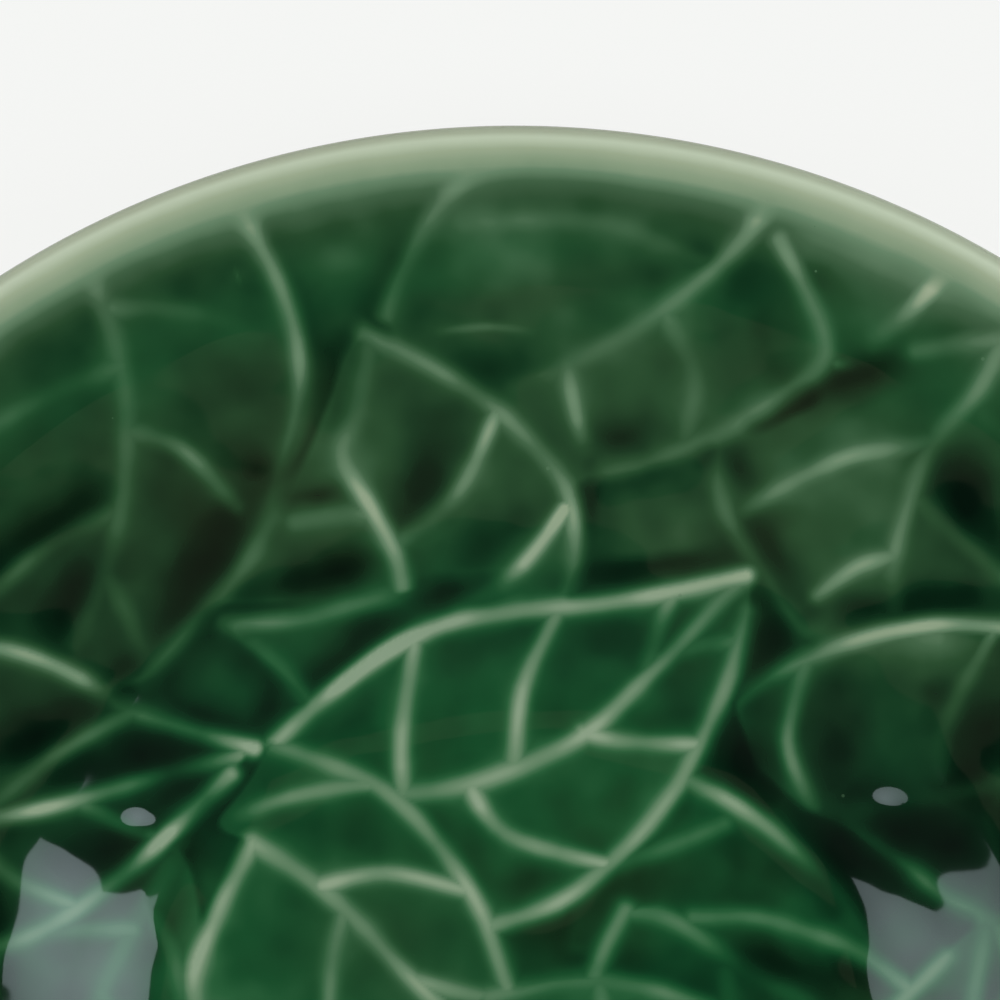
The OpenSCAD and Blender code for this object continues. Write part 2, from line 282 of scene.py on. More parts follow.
cloud_scaled = add_node(
    glaze, "ShaderNodeMath", [(0, cloud_part.outputs[0]), (1, glaze_in.outputs["Depth"])],
    operation="MULTIPLY")
depth_here = add_node(
    glaze, "ShaderNodeMath", [(0, glaze_in.outputs["Depth"]), (1, cloud_scaled.outputs[0])],
    operation="ADD")


def tone_ramp(tones):
    """A ramp of tones over the depth of the glaze."""
    node = add_node(glaze, "ShaderNodeValToRGB", [("Fac", depth_here.outputs[0])])
    while len(node.color_ramp.elements) < len(tones):
        node.color_ramp.elements.new(0.5)
    for stop, (position, tone) in zip(node.color_ramp.elements, tones):
        stop.position = position
        stop.color = linear(*tone)
    return node.outputs["Color"]


tones = add_node(
    glaze, "ShaderNodeMix",
    [("Factor", glaze_in.outputs["Warm Clay And Reflection"]), ("A", tone_ramp(GLAZE_TONES)), ("B", tone_ramp(WARM_CLAY_AND_REFLECTION_TONES))],
    data_type="RGBA")
cells = add_node(glaze, "ShaderNodeTexVoronoi", [("Vector", place), ("Scale", pinhole_scale)])
pinhole = add_node(
    glaze, "ShaderNodeMath", [(0, cells.outputs["Distance"]), (1, pinhole_size)], operation="LESS_THAN")
cell_part = add_node(glaze, "ShaderNodeSeparateColor", [("Color", cells.outputs["Color"])])
few = add_node(
    glaze, "ShaderNodeMath", [(0, cell_part.outputs["Red"]), (1, 1 - pinhole_share)],
    operation="GREATER_THAN")
speck = add_node(
    glaze, "ShaderNodeMath", [(0, pinhole.outputs[0]), (1, few.outputs[0])], operation="MULTIPLY")
speck_part = add_node(
    glaze, "ShaderNodeMath", [(0, speck.outputs[0]), (1, glaze_in.outputs["Warm Clay And Reflection"])], operation="MULTIPLY")
specked = add_node(
    glaze, "ShaderNodeMix",
    [("Factor", speck_part.outputs[0]), ("A", tones.outputs["Result"]), ("B", linear(*PINHOLE_TONE))],
    data_type="RGBA")
patches = add_node(glaze, "ShaderNodeTexNoise", [("Vector", place), ("Scale", patch_scale), ("Detail", 2)])
patch_mask = add_node(
    glaze, "ShaderNodeMapRange",
    [("Value", patches.outputs["Fac"]), ("From Min", patch_range[0]), ("From Max", patch_range[1])])
deep_mask = add_node(
    glaze, "ShaderNodeMapRange",
    [("Value", depth_here.outputs[0]), ("From Min", brown_depths[0]), ("From Max", brown_depths[1])])
brown_mask = add_node(
    glaze, "ShaderNodeMath", [(0, patch_mask.outputs[0]), (1, deep_mask.outputs[0])], operation="MULTIPLY")
brown_part = add_node(
    glaze, "ShaderNodeMath", [(0, brown_mask.outputs[0]), (1, glaze_in.outputs["Browning"])],
    operation="MULTIPLY")
browned = add_node(
    glaze, "ShaderNodeMix",
    [("Factor", brown_part.outputs[0]), ("A", specked.outputs["Result"]), ("B", tone_ramp(BROWN_TONES))],
    data_type="RGBA")
ripple = add_node(glaze, "ShaderNodeTexNoise", [("Vector", place), ("Scale", ripple_scale), ("Detail", 1)])
sheen = add_node(
    glaze, "ShaderNodeMapRange",
    [("Value", cloud.outputs["Fac"]), ("To Min", gloss_range[0]), ("To Max", gloss_range[1])])
add_node(glaze, "NodeGroupOutput", [
    ("Color", browned.outputs["Result"]),
    ("Roughness", sheen.outputs[0]),
    ("Height", ripple.outputs["Fac"]),
])


def glaze_material(name):
    """A glossy glaze whose colour follows the depth kept on the piece."""
    material = bpy.data.materials.new(name)
    material.use_nodes = True
    tree = material.node_tree
    shader = tree.nodes["Principled BSDF"]
    depth = add_node(tree, "ShaderNodeAttribute", attribute_name="depth")
    warm_clay_and_reflection = add_node(tree, "ShaderNodeAttribute", attribute_name="warm_clay_and_reflection")
    finish = add_node(tree, "ShaderNodeGroup", node_tree=glaze)
    finish.inputs["Clouding"].default_value = clouding
    finish.inputs["Browning"].default_value = browning
    tree.links.new(depth.outputs["Fac"], finish.inputs["Depth"])
    tree.links.new(warm_clay_and_reflection.outputs["Fac"], finish.inputs["Warm Clay And Reflection"])
    bump = add_node(
        tree, "ShaderNodeBump",
        [("Height", finish.outputs["Height"]), ("Distance", ripple_height * MM), ("Strength", 1)])
    tree.links.new(finish.outputs["Color"], shader.inputs["Base Color"])
    tree.links.new(finish.outputs["Roughness"], shader.inputs["Roughness"])
    tree.links.new(bump.outputs["Normal"], shader.inputs["Normal"])
    shader.inputs["IOR"].default_value = glaze_ior
    return material


dish_glaze = glaze_material("dish_glaze")
dish.data.materials.append(dish_glaze)
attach(dish, "root")
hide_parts("plate_body")


# The foot ring
# A low ring turned under the well, glazed on its sides. Its standing face is wiped before
# the firing, so the buff clay shows there.
foot_r = floor_r - 1
foot_w = 5
foot_round = 0.8
foot_points = 6
foot_steps = 360
foot_top = foot_h + 0.3
wiped_range = (0.3 * MM, 0.7 * MM)
grit_scale = 900
foot_section = [(foot_r - foot_w, foot_top), (foot_r - foot_w, foot_round)]
foot_section += arc_points(
    foot_r - foot_w + foot_round, foot_round, foot_round, math.pi, 1.5 * math.pi, foot_points)[1:]
foot_section += arc_points(
    foot_r - foot_round, foot_round, foot_round, 1.5 * math.pi, 2 * math.pi, foot_points)
foot_section += [(foot_r, foot_top), (foot_r - foot_w, foot_top)]
foot = turned("turned_foot", foot_section, foot_steps)
foot_places = point_places(foot)
set_glaze(foot, np.interp(foot_places[:, 2], [0.2, 0.9, 2.4], [0.02, 0.3, 0.56]), warm_clay_and_reflection_at(foot_r))
foot_glaze = glaze_material("foot_glaze")
foot_tree = foot_glaze.node_tree
foot_shader = foot_tree.nodes["Principled BSDF"]
foot_colour = foot_shader.inputs["Base Color"].links[0].from_socket
foot_place = add_node(foot_tree, "ShaderNodeTexCoord")
foot_axes = add_node(foot_tree, "ShaderNodeSeparateXYZ", [(0, foot_place.outputs["Object"])])
wiped = add_node(
    foot_tree, "ShaderNodeMapRange",
    [("Value", foot_axes.outputs["Z"]), ("From Min", wiped_range[0]), ("From Max", wiped_range[1]),
     ("To Min", 1), ("To Max", 0)])
grit = add_node(
    foot_tree, "ShaderNodeTexNoise",
    [("Vector", foot_place.outputs["Object"]), ("Scale", grit_scale), ("Detail", 4)])
clay = add_node(foot_tree, "ShaderNodeValToRGB", [("Fac", grit.outputs["Fac"])])
clay.color_ramp.elements[0].color = linear(176, 158, 128)
clay.color_ramp.elements[1].color = linear(214, 200, 172)
foot_mix = add_node(
    foot_tree, "ShaderNodeMix",
    [("Factor", wiped.outputs[0]), ("A", foot_colour), ("B", clay.outputs["Color"])],
    data_type="RGBA")
foot_tree.links.new(foot_mix.outputs["Result"], foot_shader.inputs["Base Color"])
foot_rough = add_node(
    foot_tree, "ShaderNodeMapRange", [("Value", wiped.outputs[0]), ("To Min", 0.08), ("To Max", 0.75)])
foot_tree.links.new(foot_rough.outputs[0], foot_shader.inputs["Roughness"])
foot.data.materials.append(foot_glaze)
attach(foot, "root")
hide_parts("foot_ring")


# The leaves
# Pads of clay stuck on the dish, each pressed with a raised midrib, side veins and rolled edges.
# They overlap all round, and the glaze runs off their ribs and lies deep between them.
# A drawing holds: layer, first edge, plain stretch, second edge, plain stretch, midrib, veins.
DRAWINGS = {
    "broad": [3.2,
        [[-31.3, 100], [-27, 92], [-24.8, 84], [-25.2, 75], [-29.3, 62.5], [-36, 54], [-43, 46]],
        [[-50, 43], [-60, 48]],
        [[-64, 54], [-67.5, 64], [-66, 78], [-60, 87]],
        [[-57, 95], [-45, 103]],
        [[-50, 97], [-47, 88.5], [-44.8, 79.5], [-45, 68], [-47.3, 58.3], [-50.8, 50.5]],
        [[[-47, 58], [-44.5, 53.5], [-42.8, 48]],
         [[-44.8, 75], [-38.5, 73], [-32, 66.3]],
         [[-46, 89], [-37, 88.7], [-29.5, 85.8]],
         [[-45.3, 82.3], [-53, 79.3], [-64, 73]],
         [[-46.5, 65.5], [-54, 61.5], [-61, 55.5]]]],
    "curled": [3,
        [[6.3, 56], [7.2, 62], [5.6, 69], [-2, 77.5], [-10, 82.5], [-17.3, 86.3]],
        [[-19.5, 83], [-21.5, 78], [-24, 73], [-28, 66], [-33, 59], [-35, 55], [-20, 54.4]],
        [],
        [[-12, 53.5], [6, 50]],
        [[-12, 50], [-13.3, 59], [-16.5, 66], [-20, 72], [-18, 77.5], [-16.8, 85]],
        [[[-13.5, 62], [-6.5, 68], [-2, 77.3]],
         [[-5, 55], [1, 59.5], [5.8, 66]],
         [[-16.3, 65.3], [-21, 65.2], [-25.3, 64.5]]]],
    "rim": [2,
        [[-1, 106.3], [-5, 104.3], [-9.5, 99.7], [-12.7, 94], [-15, 88.3]],
        [[-12, 80], [0, 72], [4, 66]],
        [[8.3, 69.5], [15, 71.2], [22, 73.7], [30, 78.2], [35.4, 82.8], [34.8, 88], [30.3, 96.7]],
        [[30, 104], [14, 107]],
        [[29.3, 101.5], [25, 95.5], [17, 88.8], [8, 83.5], [0, 80.2]],
        [[[23, 94], [10, 98.7], [-6, 98.7]],
         [[17, 88.6], [20.6, 81.5], [19.6, 74]],
         [[6, 82.3], [6.8, 78], [8, 73]]]],
    "stem": [1,
        [],
        [[29, 100], [36, 100], [52, 93], [58, 84], [48, 81], [36, 77], [31, 84]],
        [],
        [],
        [[50.5, 94.5], [46, 89.5], [40, 84]],
        []],
    "fan": [1.5,
        [[23, 76], [23.3, 69], [25, 64], [28.5, 58], [33.3, 51]],
        [[41, 48], [56, 48.5]],
        [[66, 53], [72.5, 60], [74, 69], [67.5, 78.5], [56.5, 85], [46, 84]],
        [[36, 79], [28, 75]],
        [[57, 87], [53, 79.5], [48, 73.7], [45.2, 66], [43.7, 59.5], [44.2, 53]],
        [[[48, 73.7], [37, 71.5], [25.5, 65.2]],
         [[43.8, 60.5], [39.5, 59.3], [35, 56]],
         [[45.7, 67.5], [51, 62.7], [60, 55]],
         [[52, 78], [60, 72], [70, 67]]]],
    "well": [4,
        [[-28, 38.7], [-20, 45.7], [-10, 52], [1, 54.2], [12, 55.3], [26.8, 58.3]],
        [],
        [[26.9, 54], [24.3, 44.3], [19, 33.5], [12, 25.2], [5, 19.8], [-3, 17]],
        [[-14, 20], [-24, 30]],
        [[-13, 32.7], [-5, 34], [2, 36.3], [9, 40.2], [16.5, 47.5], [26, 57.5]],
        [[[-13, 33], [-13.2, 40], [-11.5, 51]],
         [[0, 36], [1, 45], [5, 54]],
         [[15.5, 46.8], [16.7, 52], [18.3, 56]],
         [[-5.5, 34], [-1, 28], [10.8, 24.4]],
         [[8, 39.8], [13, 38.7], [21.5, 38.5]],
         [[17, 48.5], [21, 50], [26, 50.7]]]],
    "heart": [5,
        [[-28.3, 38.5], [-17, 34.2], [-9, 27], [-4, 19], [-0.8, 10.5], [2, 2], [6, -7]],
        [],
        [[3, -9], [-10, -11], [-24, -7], [-34, 1], [-37.5, 10], [-35, 18], [-30.7, 26.8]],
        [[-34.8, 29.2]],
        [[-30.7, 27], [-25, 23.4], [-19, 18.5], [-12, 11], [-4, 3], [5, -7]],
        [[[-33.5, 29.6], [-26, 32.3], [-17, 33.8]],
         [[-22.5, 22], [-15, 23.4], [-5.3, 21.2]],
         [[-19.8, 19], [-21.5, 12], [-22, -5]],
         [[-12, 11], [-7, 9.7], [-0.5, 8.3]],
         [[-9, 8], [-11, 1], [-10, -10]]]],
    "floor": [2,
        [[21, 18.3], [28, 18.2], [34, 16.6], [41, 13.8], [47, 9], [52, 1]],
        [],
        [[47, -4], [36, -9], [22, -9], [11, -3], [7.5, 5], [9.5, 12], [13, 19.2]],
        [[17, 20]],
        [[13.3, 19], [18, 18], [24, 14.3], [32, 9.5], [42, 4], [50, 1.4]],
        [[[25, 13.7], [25.3, 5], [29, -8]],
         [[33, 9], [36.5, 12], [39, 15]],
         [[38, 6], [37.5, 0], [40, -6.5]],
         [[18, 17.6], [16, 8], [17, -6]]]],
    "tucked": [1,
        [[16, 36.5], [20.5, 34.3], [26.5, 31], [32, 26.8], [38, 21], [42, 15]],
        [[38, 9], [20, 10], [6, 14], [8, 30]],
        [],
        [],
        [[10, 23.8], [17, 26], [24.5, 29]],
        []],
    "side": [4,
        [[25.5, 43.3], [30, 46.8], [36, 49.6], [44, 52], [52, 52.7], [62, 51], [74, 46], [84, 38]],
        [],
        [[80, 29], [72, 21], [62, 17.5], [52, 19.5], [45, 24.8], [38.5, 29], [34, 31]],
        [[28.5, 36]],
        [[34.5, 31], [42, 31.3], [50, 33], [60, 35.2], [72, 37], [82, 37.8]],
        [[[34.7, 31.3], [31.8, 39], [33.8, 48.3]],
         [[49.3, 33.5], [49.7, 41], [55, 51.5]],
         [[63, 36], [65.5, 42], [71, 47]],
         [[50, 32.8], [55, 27], [62, 18.5]],
         [[64, 35.6], [69, 30], [75, 24.5]]]],
    "long": [4.5,
        [[-90, 34], [-82, 43], [-72, 49], [-60, 50], [-50, 46.4], [-43, 42.2], [-30.3, 38.1]],
        [],
        [[-33, 35], [-38.5, 29.7], [-47, 22.3], [-55, 17], [-65, 14.5], [-77, 16.5], [-87, 23]],
        [],
        [[-89, 29], [-72, 29.5], [-60, 30.3], [-50, 32.4], [-40, 35.4], [-32, 37.2]],
        [[[-62, 30.2], [-53.5, 37.2], [-44.5, 42.3]],
         [[-50.5, 32.3], [-46, 29.5], [-41, 27.5]],
         [[-76, 29.3], [-70, 38], [-63, 49]],
         [[-64, 30], [-59, 24], [-51, 20]],
         [[-78, 29.3], [-72, 22], [-65, 15.5]]]],
    "tip": [3.5,
        [[-10, 56.8], [-20, 54.6], [-27, 53.2], [-33.4, 52.7]],
        [],
        [[-30, 50], [-26, 46], [-22, 40]],
        [[-6, 46]],
        [],
        []],
    "cross": [3.6,
        [[39, -27], [50, -25], [59, -16], [63, -3], [60.5, 9], [55, 20]],
        [],
        [[50, 14], [42.5, 5], [37.5, -7], [36, -18]],
        [],
        [[39, -26], [46, -14], [51.5, 0], [54.5, 17]],
        [[[44.5, -17], [52, -17], [58, -16]],
         [[49, -7], [56, -5], [62, 1]],
         [[43, -19.5], [40, -14], [38.5, -5.5]],
         [[48, -9.5], [46, -3], [46.5, 8]],
         [[52.7, 5], [56, 8], [59, 12]]]],
}

# How pale each line of a drawing shows along its length: first edge, second edge, midrib, veins.
SHOWS = {
    "broad": [[0.7, 0.5, 0.25], [0.5, 0.5], [0.5, 0.3, 0.4, 0.15], [0.35, 0.35, 0.1],
              [0.3, 0.4, 0.65, 0.4], [0.45, 0.25, 0.1], [0.35, 0.25, 0.3], [0.3, 0.5, 0.35]],
    "curled": [[0.3, 0.65, 0.55, 0.65, 0.5], [], [0.7, 0.8, 0.75, 0.35, 0.3], [0.4, 0.3, 0.65, 0.75, 0.6],
               [0.1, 0.3, 0.8, 0.7, 0.75], [0.5, 0.3, 0.4, 0.5]],
    "rim": [[0.6, 0.55, 0.3, 0.4], [0.15, 0.4, 0.55, 0.55, 0.5], [0.65, 0.65, 0.5, 0.3, 0.2],
            [0.25, 0.3, 0.2], [0.45, 0.3, 0.4, 0.2], [0.4, 0.7, 0.6, 0.1]],
    "stem": [[], [], [0.6, 0.75, 0.75, 0.3, 0]],
    "fan": [[0, 0.25, 0.4, 0.1, 0.1], [0.5, 0.5, 0.4], [0.5, 0.5, 0.55, 0.6, 0],
            [0.55, 0.65, 0.7, 0.55, 0.15], [0.55, 0.65, 0.7, 0.5], [0.4, 0.25, 0.4, 0.4], [0.1, 0.3]],
    "well": [[0.7, 0.95, 0.85, 0.85, 0.9], [0.5, 0.65, 0.75, 0.75, 0.85], [0.55, 0.75, 0.85, 0.8, 0.5],
             [0.65, 1.1, 1, 0.6, 0.65], [0.6, 0.95, 1.1, 0.75, 0.6], [0.5, 0.45, 0.5, 0.65],
             [0.6, 0.9, 0.75, 0.55, 1], [0.8, 0.85, 0.75, 0.8], [0.6, 0.35, 0.3, 0.5]],
    "heart": [[0.4, 0.85, 0.55, 0.95, 0.65, 0.65, 0.65], [0.5, 0.5, 0.6, 0.75, 1],
              [1, 0.55, 0.65, 0.7, 0.6], [0.15, 0.45, 0.6, 0.6, 0.9], [0.75, 0.95, 0.85, 0.75],
              [0.5, 0.5, 0.5], [0.6, 0.55, 0.5], [0.5, 0.5]],
    "floor": [[0.4, 0.5, 0.65, 0.3], [0.4, 0.6, 1], [0.8, 0.4, 0.2, 0.3], [0.15, 0.3, 0.3],
              [0, 0, 0.1], [0.3, 0.3], [0, 0, 0.1]],
    "tucked": [[0.3, 0.75, 0.45, 0.12], [], [0.45, 0.4, 0.45, 0.35]],
    "side": [[0.1, 0.6, 0.7, 0.7, 0.6], [0.5, 0.5, 0.5, 0.4, 0.05, 0.05], [0.1, 0.15, 0.3, 0.4],
             [0.45, 0.6, 0.6, 0.5], [0.1, 0.2, 0.3, 0.4, 0.55], [0.4, 0.4], [0, 0, 0.1], [0.4, 0.4]],
    "long": [[0.5, 0.5, 0.5, 0.5, 0.65, 0.8, 0.95, 0.95, 0.8, 0.2, 0.55, 0.5, 0.9],
             [0.8, 0.55, 0.8, 0.65, 0.6, 0.6, 0.5, 0.5, 0.5, 0.5, 0.5],
             [0.5, 0.5, 0.95, 0.8, 0.35, 0.65], [0.5, 0.5, 0.45], [0.7, 0.6, 0.6, 0.3, 0.5],
             [0.4, 0.4], [0.5, 0.5], [0.4, 0.4]],
    "tip": [[0.1, 0.4, 0.5, 0.5, 0.4], [0.25, 0.35, 0.4, 0.3], []],
    "cross": [[0.2, 0.45, 0.6], [0.5, 0.6, 0.2], [0.15, 0.45, 0.4], [0.5, 0.3], [0.5, 0.3], [0.3, 0.3],
              [0.5, 0.3], [0.5, 0.3]],
}

# How much deeper the glaze lies on a kind of leaf, or how much less deep.
DEEPER = {"long": 0.12, "side": 0.06, "tucked": 0.07, "floor": 0.07, "tip": 0.04, "broad": 0.03,
          "curled": -0.06, "fan": -0.05, "heart": -0.03}
ground_deeper = -0.08

# A leaf that is laid: its kind, its number and its quarter turns. Only the first broad leaf lies high.
ON_FLANGE = ["broad", "curled", "rim", "stem", "fan"]
IN_WELL = ["well", "heart", "floor", "tucked", "side", "long", "tip", "cross"]
LAID = [(kind, n + 1, -n) for kind in ON_FLANGE for n in range(4)]
LAID += [(kind, n + 1, 2 * n) for kind in IN_WELL for n in range(2)]
low_broad = 1.3
leaf_limit = 104
blade_t = 0.6
layer_t = 0.25
edge_reach = 0.7
edge_w = 1.15
midrib_w = (1.25, 1.0)
midrib_tip_h = 0.9
vein_w = (1.1, 0.95)
vein_tip_h = 0.7
pale_w = 1.12
pale_fall = 2.2

# The face is worked out on a square mesh of points that turns into itself with the leaves.
mesh_step = 0.3
mesh_half = 360
line_margin = 5
far_outside = 9.0
axis_mm = np.arange(-mesh_half, mesh_half + 1) * mesh_step
span_mm = len(axis_mm)
far_r = np.hypot(axis_mm[:, None], axis_mm[None, :])


def smooth_line(points, parts=6):
    """A smooth curve through the points of a drawn line."""
    p = np.array(points, dtype=float)
    if len(p) < 3:
        return p
    ends = np.vstack([p[:1], p, p[-1:]])
    t = (np.arange(parts) / parts)[:, None]
    curve = []
    for a, b, c, d in zip(ends, ends[1:], ends[2:], ends[3:]):
        curve.append(0.5 * (
            2 * b + (c - a) * t + (2 * a - 5 * b + 4 * c - d) * t ** 2
            + (3 * b - a - 3 * c + d) * t ** 3))
    return np.vstack(curve + [p[-1:]])


def window(points, margin):
    """The part of the mesh of points round a line."""
    low = np.floor((points.min(axis=0) - margin) / mesh_step).astype(int) + mesh_half
    high = np.ceil((points.max(axis=0) + margin) / mesh_step).astype(int) + mesh_half + 1
    low, high = np.clip(low, 0, span_mm), np.clip(high, 0, span_mm)
    return slice(low[0], high[0]), slice(low[1], high[1])


def line_distance(curve, part):
    """Distance of each point of a part of the mesh from a curve, and how far along the nearest place is."""
    xs, ys = axis_mm[part[0]][:, None], axis_mm[part[1]][None, :]
    nearest = np.full((xs.shape[0], ys.shape[1]), np.inf)
    along = np.zeros_like(nearest)
    for k, (a, b) in enumerate(zip(curve, curve[1:])):
        v = b - a
        t = np.clip(((xs - a[0]) * v[0] + (ys - a[1]) * v[1]) / (v @ v), 0, 1)
        d = (xs - a[0] - t * v[0]) ** 2 + (ys - a[1] - t * v[1]) ** 2
        closer = d < nearest
        nearest = np.where(closer, d, nearest)
        along = np.where(closer, (k + t) / (len(curve) - 1), along)
    return np.sqrt(nearest), along


def within(outline, part):
    """Which points of a part of the mesh lie inside an outline."""
    xs, ys = axis_mm[part[0]][:, None], axis_mm[part[1]][None, :]
    inside = np.zeros((xs.shape[0], ys.shape[1]), dtype=bool)
    for a, b in zip(outline, np.roll(outline, -1, axis=0)):
        crosses = (a[1] > ys) != (b[1] > ys)
        if a[1] != b[1]:
            inside ^= crosses & (xs < a[0] + (ys - a[1]) * (b[0] - a[0]) / (b[1] - a[1]))
    return inside


def lay_crest(relief, pallor, line, w0, w1, h1, shows):
    """Adds a rounded rib along a drawn line to a relief, and how pale it shows to a map of that."""
    curve = smooth_line(line)
    part = window(curve, line_margin)
    distance, along = line_distance(curve, part)
    off = distance / (w0 + (w1 - w0) * along)
    pale = np.interp(along, np.linspace(0, 1, len(shows)), shows)
    relief[part] = np.maximum(relief[part], (1 + (h1 - 1) * along) * np.exp(-off ** 2))
    pallor[part] = np.maximum(pallor[part], pale * np.exp(-(off / pale_w) ** pale_fall))


def drawn_leaf(drawing, shows):
    """How far each point lies outside a leaf, and the relief and paleness of its ribs and rolled edges."""
    rounds = [smooth_line(drawing[1]), drawing[2], smooth_line(drawing[3]), drawing[4]]
    outline = np.vstack([np.array(line, dtype=float) for line in rounds if len(line)])
    part = window(outline, line_margin - 1)
    distance = line_distance(np.vstack([outline, outline[:1]]), part)[0]
    outside = np.full((span_mm, span_mm), far_outside)
    outside[part] = np.where(within(outline, part), -distance, distance)
    ribs, pale_ribs, rolled, pale_rolled = np.zeros((4, span_mm, span_mm))
    for line, show in zip((drawing[1], drawing[3]), shows):
        if line:
            lay_crest(rolled, pale_rolled, line, edge_w, edge_w, 1, show)
    if drawing[5]:
        lay_crest(ribs, pale_ribs, drawing[5], *midrib_w, midrib_tip_h, shows[2])
    for vein, show in zip(drawing[6], shows[3:]):
        lay_crest(ribs, pale_ribs, vein, *vein_w, vein_tip_h, show)
    return outside, ribs, rolled, pale_ribs, pale_rolled


def spread(field, radius):
    """A field smoothed over a radius, by rows and then by columns."""
    count = int(3 * radius / mesh_step) + 1
    weights = np.exp(-0.5 * (np.arange(-count, count + 1) * mesh_step / radius) ** 2)
    weights /= weights.sum()
    padded = np.pad(field, count, mode="edge")
    rows = sum(w * padded[k:k + span_mm] for k, w in enumerate(weights))
    return sum(w * rows[:, k:k + span_mm] for k, w in enumerate(weights))


# Leaves of a higher layer lie on top, and within a layer the later ones do.
shapes = {kind: drawn_leaf(drawing, SHOWS[kind]) for kind, drawing in DRAWINGS.items()}
ranks = []
for number, (kind, n, _) in enumerate(LAID):
    level = low_broad if kind == "broad" and n > 1 else DRAWINGS[kind][0]
    ranks.append((level + number / 1000, number, level))

# Leaves thin out towards the lip. The clay is stepped from leaf to leaf, and ribbed.
step_w = 1.2
edge_near = 3
pad_share = np.interp(far_r, [92, leaf_limit, face_edge], [1, 0.1, 0])
steps_map = np.zeros((span_mm, span_mm))
deep_map = np.full((span_mm, span_mm), ground_deeper)
ribs_map = np.zeros((span_mm, span_mm))
pale_map = np.zeros((span_mm, span_mm))
for _, number, level in sorted(ranks):
    kind, _, turn = LAID[number]
    outside, ribs, rolled, pale_ribs, pale_rolled = (np.rot90(field, turn) for field in shapes[kind])
    inside = np.clip(0.5 - outside / step_w, 0, 1)
    inside = inside * inside * (3 - 2 * inside)
    steps_map += (blade_t + (level - 1) * layer_t - steps_map) * inside
    near = outside < edge_near
    deep_map += (DEEPER.get(kind, 0) - deep_map) * inside
    ribs_map = np.maximum(ribs_map + (ribs - ribs_map) * inside, rolled * near)
    pale_map = np.maximum(pale_map + (pale_ribs - pale_map) * inside, pale_rolled * near)

# Here and there the colour is paler along a line, in a spot or over a broad stretch: partly thinner glaze,
# partly painted highlights. Each holds a line of points, its half width and how pale it shows in the
# middle.
mark_ends = 0.3
PALE_AND_HIGHLIGHT_MARKS = [
    ([(-32.1, 92.6), (-31.8, 92.7), (-31.5, 92.8)], 0.8, 0.4),
    ([(-8.5, 86.4), (-3, 86.9), (2, 86.3)], 0.5, 0.45),
    ([(0.8, 80.4), (3, 81.4), (5.5, 81.9)], 0.45, 0.35),
    ([(8.7, 70.2), (14.4, 70.7), (21.3, 72.2)], 0.5, 0.35),
    ([(36, 83), (37, 82.6), (38.2, 82.5)], 0.6, 0.5),
    ([(42, 50), (49, 50.8), (57, 50)], 2.4, 0.4),
    ([(31, 97), (42, 94), (53, 88)], 3, 0.3),
    ([(37.5, 71), (42, 72), (46, 72.5)], 1.8, 0.15),
    ([(-33.5, 28), (-36, 22.5), (-38, 17)], 2.6, 0.22),
]
for line, width, pale in PALE_AND_HIGHLIGHT_MARKS:
    shows = [mark_ends * pale, pale, mark_ends * pale]
    lay_crest(np.zeros_like(ribs_map), pale_map, line, width, width, 1, shows)

# Hollows of the clay where the glaze lies deepest: place, half length, half width, turn, depth.
FLANGE_HOLLOWS = [
    (-10.8, 68.3, 6.5, 2.8, 60, 0.5),
    (-36.3, 58.3, 8.8, 2.5, 57, 0.52),
    (-22.5, 58.3, 9, 2.2, 14, 0.42),
    (-23, 67.5, 4, 1.4, 8, 0.3),
    (-53.5, 63.8, 7.5, 2.1, 37, 0.4),
    (-51.2, 55.2, 4.5, 2, 62, 0.36),
    (-45.5, 47.5, 4, 2.6, 40, 0.35),
    (-30, 70.5, 2.4, 1.8, 60, 0.2),
    (-20.6, 77.8, 5, 1.6, 80, 0.12),
    (-19, 83.7, 3.5, 2.2, 60, 0.06),
    (-0.5, 63.5, 6, 2.6, 35, 0.32),
    (-7, 56.6, 5.5, 1.6, 12, 0.34),
    (8.4, 66, 6, 1.2, 85, 0.26),
    (16.2, 59.4, 8.5, 1.4, 8, 0.42),
    (25.8, 70.6, 3.2, 2.1, -60, 0.34),
    (30.3, 60.3, 6, 2.8, -65, 0.48),
    (51.5, 67.2, 7, 2.7, -55, 0.48),
    (39.6, 81.4, 7.5, 2, 20, 0.4),
    (12.3, 74.2, 4.2, 2.2, 10, 0.3),
    (-2.8, 82, 4.5, 2.2, -15, 0.12),
    (21.1, 95.3, 4.5, 1.5, -25, 0.22),
    (5.2, 91.6, 12, 2, 10, 0.1),
    (15.5, 64, 6, 4, 0, 0.14),
]
WELL_HOLLOWS = [
    (-54, 40.5, 10, 2.4, 26, 0.45),
    (-44, 37, 10, 2.8, 8, 0.45),
    (-45.5, 27.3, 7, 2.6, 12, 0.42),
    (-38.5, 33.3, 5, 1.6, 34, 0.15),
    (-31.5, 34.5, 4, 2, 50, 0.12),
    (-28.6, 42.8, 3, 1.6, 60, 0.22),
    (-19.8, 48.2, 8, 2.2, 42, 0.34),
    (29.5, 49, 6, 2, 70, 0.3),
    (26.5, 36.5, 5.5, 3, -42, 0.32),
    (37.3, 25.2, 6.5, 3, -58, 0.45),
    (48.5, 28.4, 8, 3, -20, 0.45),
    (53.8, 38.6, 6, 3.6, 75, 0.65),
    (37.2, 40, 6.5, 2.4, 82, 0.26),
    (31, 12.6, 6, 2, -12, 0.4),
    (40, 11.5, 4, 2, -20, 0.3),
    (-40, 18, 6, 1.8, 62, 0.1),
    (44.4, 54.9, 10.5, 2.1, 3, 0.48),
    (5.5, 22.8, 6, 3, 20, 0.13),
]


